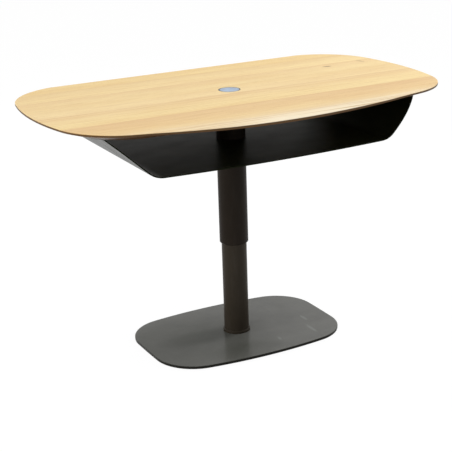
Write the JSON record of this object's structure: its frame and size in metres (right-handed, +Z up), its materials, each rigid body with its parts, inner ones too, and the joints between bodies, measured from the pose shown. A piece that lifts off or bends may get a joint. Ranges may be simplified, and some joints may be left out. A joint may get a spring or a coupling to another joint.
{
  "type": "height-adjustable coffee table",
  "caption": "Height-adjustable coffee table: rounded wooden top with a press-button release, open bent-metal tray below, telescopic centre column and flat steel base plate.",
  "frame": {"origin": "centre of the base on the floor, below the column's axis", "axes": "+X along the long side of the top, +Z up along the column, +Y towards the far long side as seen from the front"},
  "size_m": [1.12, 0.68, 0.706],
  "materials": {
    "oak": "clear satin lacquer",
    "black_steel": "satin powder coat",
    "grey_steel": "satin powder coat",
    "brown_steel": "satin powder coat",
    "black_plastic": "moulded, satin",
    "brushed_metal": "circular brush",
    "dark_rim": "dark anodised",
    "zinc_steel": "zinc plated",
    "spring_steel": "drawn wire",
    "chrome_rod": "ground and plated",
    "black_paint": "gloss paint",
    "rubber_pad": "soft pad"
  },
  "bodies": {
    "pedestal": {"base_plate": "grey_steel", "base_screws": "zinc_steel", "base_glides": "rubber_pad", "foot_plug": "zinc_steel", "foot_ring": "black_steel", "inner_tube": "brown_steel", "upper_bush": "black_plastic", "gas_cylinder": "black_paint", "cylinder_gland": "zinc_steel", "cylinder_nut": "zinc_steel"},
    "board": {"tabletop": "oak", "button_bezel": "dark_rim", "button_spring": "spring_steel", "mounting_plate": "black_steel", "plate_screws": "zinc_steel", "tray": "black_steel", "tray_screws": "zinc_steel", "outer_tube": "black_steel", "lower_bush": "black_plastic", "guide_key": "zinc_steel", "gas_rod": "chrome_rod", "gas_piston": "zinc_steel", "rod_nuts": "zinc_steel"},
    "button": {"release_button": "brushed_metal", "button_stem": "zinc_steel", "release_pin": "zinc_steel"}
  },
  "joints": [
    {"name": "lift", "type": "slide", "parent": "pedestal", "child": "board", "axis": [0, 0, 1], "range_m": [-0.255, 0]},
    {"name": "button_press", "type": "slide", "parent": "board", "child": "button", "axis": [0, 0, -1], "range_m": [0, 0.004], "stiffness_N_per_m": 2500, "springref_m": -0.003, "deforming": ["button_spring"]}
  ]
}
